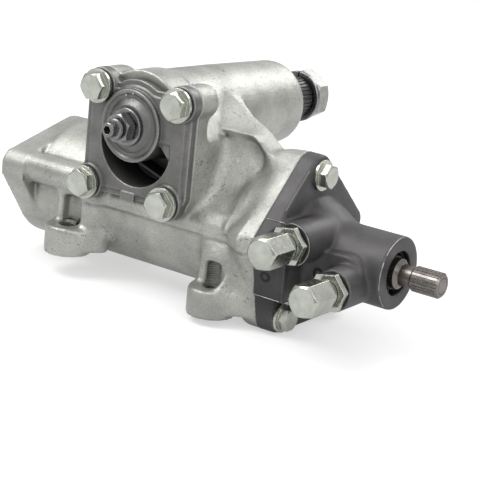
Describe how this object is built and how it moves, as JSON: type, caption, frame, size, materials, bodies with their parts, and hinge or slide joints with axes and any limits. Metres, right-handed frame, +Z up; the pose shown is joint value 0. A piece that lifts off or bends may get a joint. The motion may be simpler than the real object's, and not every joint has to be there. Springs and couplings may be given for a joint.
{
  "type": "power steering gearbox",
  "caption": "Recirculating-ball power steering gearbox: a splined input turns a worm, a rack piston and a toothed output shaft.",
  "frame": {"origin": "middle of the output shaft's serrations, on the output shaft's axis", "axes": "+Y along the output shaft towards its threaded end, +X along the worm towards the input shaft, +Z up from the feet"},
  "size_m": [0.31, 0.2286, 0.1457],
  "materials": {
    "housing_alloy": "rough cast, blasted",
    "cover_alloy": "cast, darker",
    "valve_iron": "dark phosphated cast",
    "zinc_bolt": "pale zinc plated",
    "bright_steel": "machined and ground",
    "dark_steel": "black oxide",
    "bearing_steel": "polished",
    "bronze": "plain bearing metal",
    "seal_rubber": "matt black",
    "gasket_sheet": "pressed fibre",
    "ring_plastic": "filled fluoroplastic",
    "copper_washer": "soft washer, tinned"
  },
  "bodies": {
    "housing": {"gear_housing": "housing_alloy", "side_cover": "cover_alloy", "cover_gasket": "gasket_sheet", "cover_bolts": "zinc_bolt", "cover_washers": "zinc_bolt", "adjuster_washer": "bright_steel", "adjuster_lock_nut": "dark_steel", "cover_bearing": "bronze", "sector_bearing_inner": "bearing_steel", "sector_bearing_outer": "bearing_steel", "sector_seal": "seal_rubber", "sector_snap_ring": "dark_steel", "sector_dust_seal": "seal_rubber", "thrust_bearings": "bearing_steel", "bearing_lock_nut": "dark_steel", "input_bearing": "bearing_steel", "input_seal": "seal_rubber", "input_snap_ring": "dark_steel", "valve_housing": "valve_iron", "housing_o_ring": "seal_rubber", "valve_bolts": "zinc_bolt", "port_plug_1": "zinc_bolt", "port_plug_2": "zinc_bolt", "port_washer_1": "copper_washer", "port_washer_2": "copper_washer"},
    "piston": {"rack_piston": "bright_steel", "piston_plug": "bright_steel", "piston_ring": "ring_plastic", "balls": "bearing_steel", "ball_guide": "bright_steel", "guide_clamp": "bright_steel", "guide_screws": "dark_steel"},
    "sector": {"sector_shaft": "bright_steel", "adjuster_retainer": "bright_steel"},
    "output_nut": {"pitman_nut": "zinc_bolt", "pitman_lock_washer": "dark_steel"},
    "worm": {"worm_shaft": "bright_steel", "valve_sleeve": "bright_steel", "sleeve_rings": "ring_plastic", "torsion_bar": "bright_steel"},
    "input": {"input_shaft": "bright_steel", "input_dust_ring": "seal_rubber"},
    "adjuster": {"adjuster_screw": "dark_steel"}
  },
  "joints": [
    {"name": "piston_slide", "type": "slide", "parent": "housing", "child": "piston", "axis": [1, 0, 0], "range_m": [-0.0225, 0.0225]},
    {"name": "sector_swing", "type": "hinge", "parent": "housing", "child": "sector", "pos_m": [0, 0, 0], "axis": [0, 1, 0], "range_deg": [-37.4, 37.4]},
    {"name": "worm_turn", "type": "hinge", "parent": "housing", "child": "worm", "pos_m": [0.04, -0.115, -0.063], "axis": [1, 0, 0], "range_deg": [-677, 677]},
    {"name": "input_twist", "type": "hinge", "parent": "worm", "child": "input", "pos_m": [0.16, -0.115, -0.063], "axis": [1, 0, 0], "range_deg": [-4, 4], "stiffness_Nm_per_rad": 60},
    {"name": "adjuster_turn", "type": "hinge", "parent": "housing", "child": "adjuster", "pos_m": [0, -0.175, 0], "axis": [0, 1, 0], "range_deg": [-90, 90]},
    {"name": "output_nut_off", "type": "slide", "parent": "sector", "child": "output_nut", "axis": [0, 1, 0], "range_m": [0, 0.06]}
  ],
  "couplings": [
    {"joint": "sector_swing", "follows": "piston_slide", "rad_per_m": -28.818},
    {"joint": "worm_turn", "follows": "piston_slide", "rad_per_m": -523.6}
  ]
}
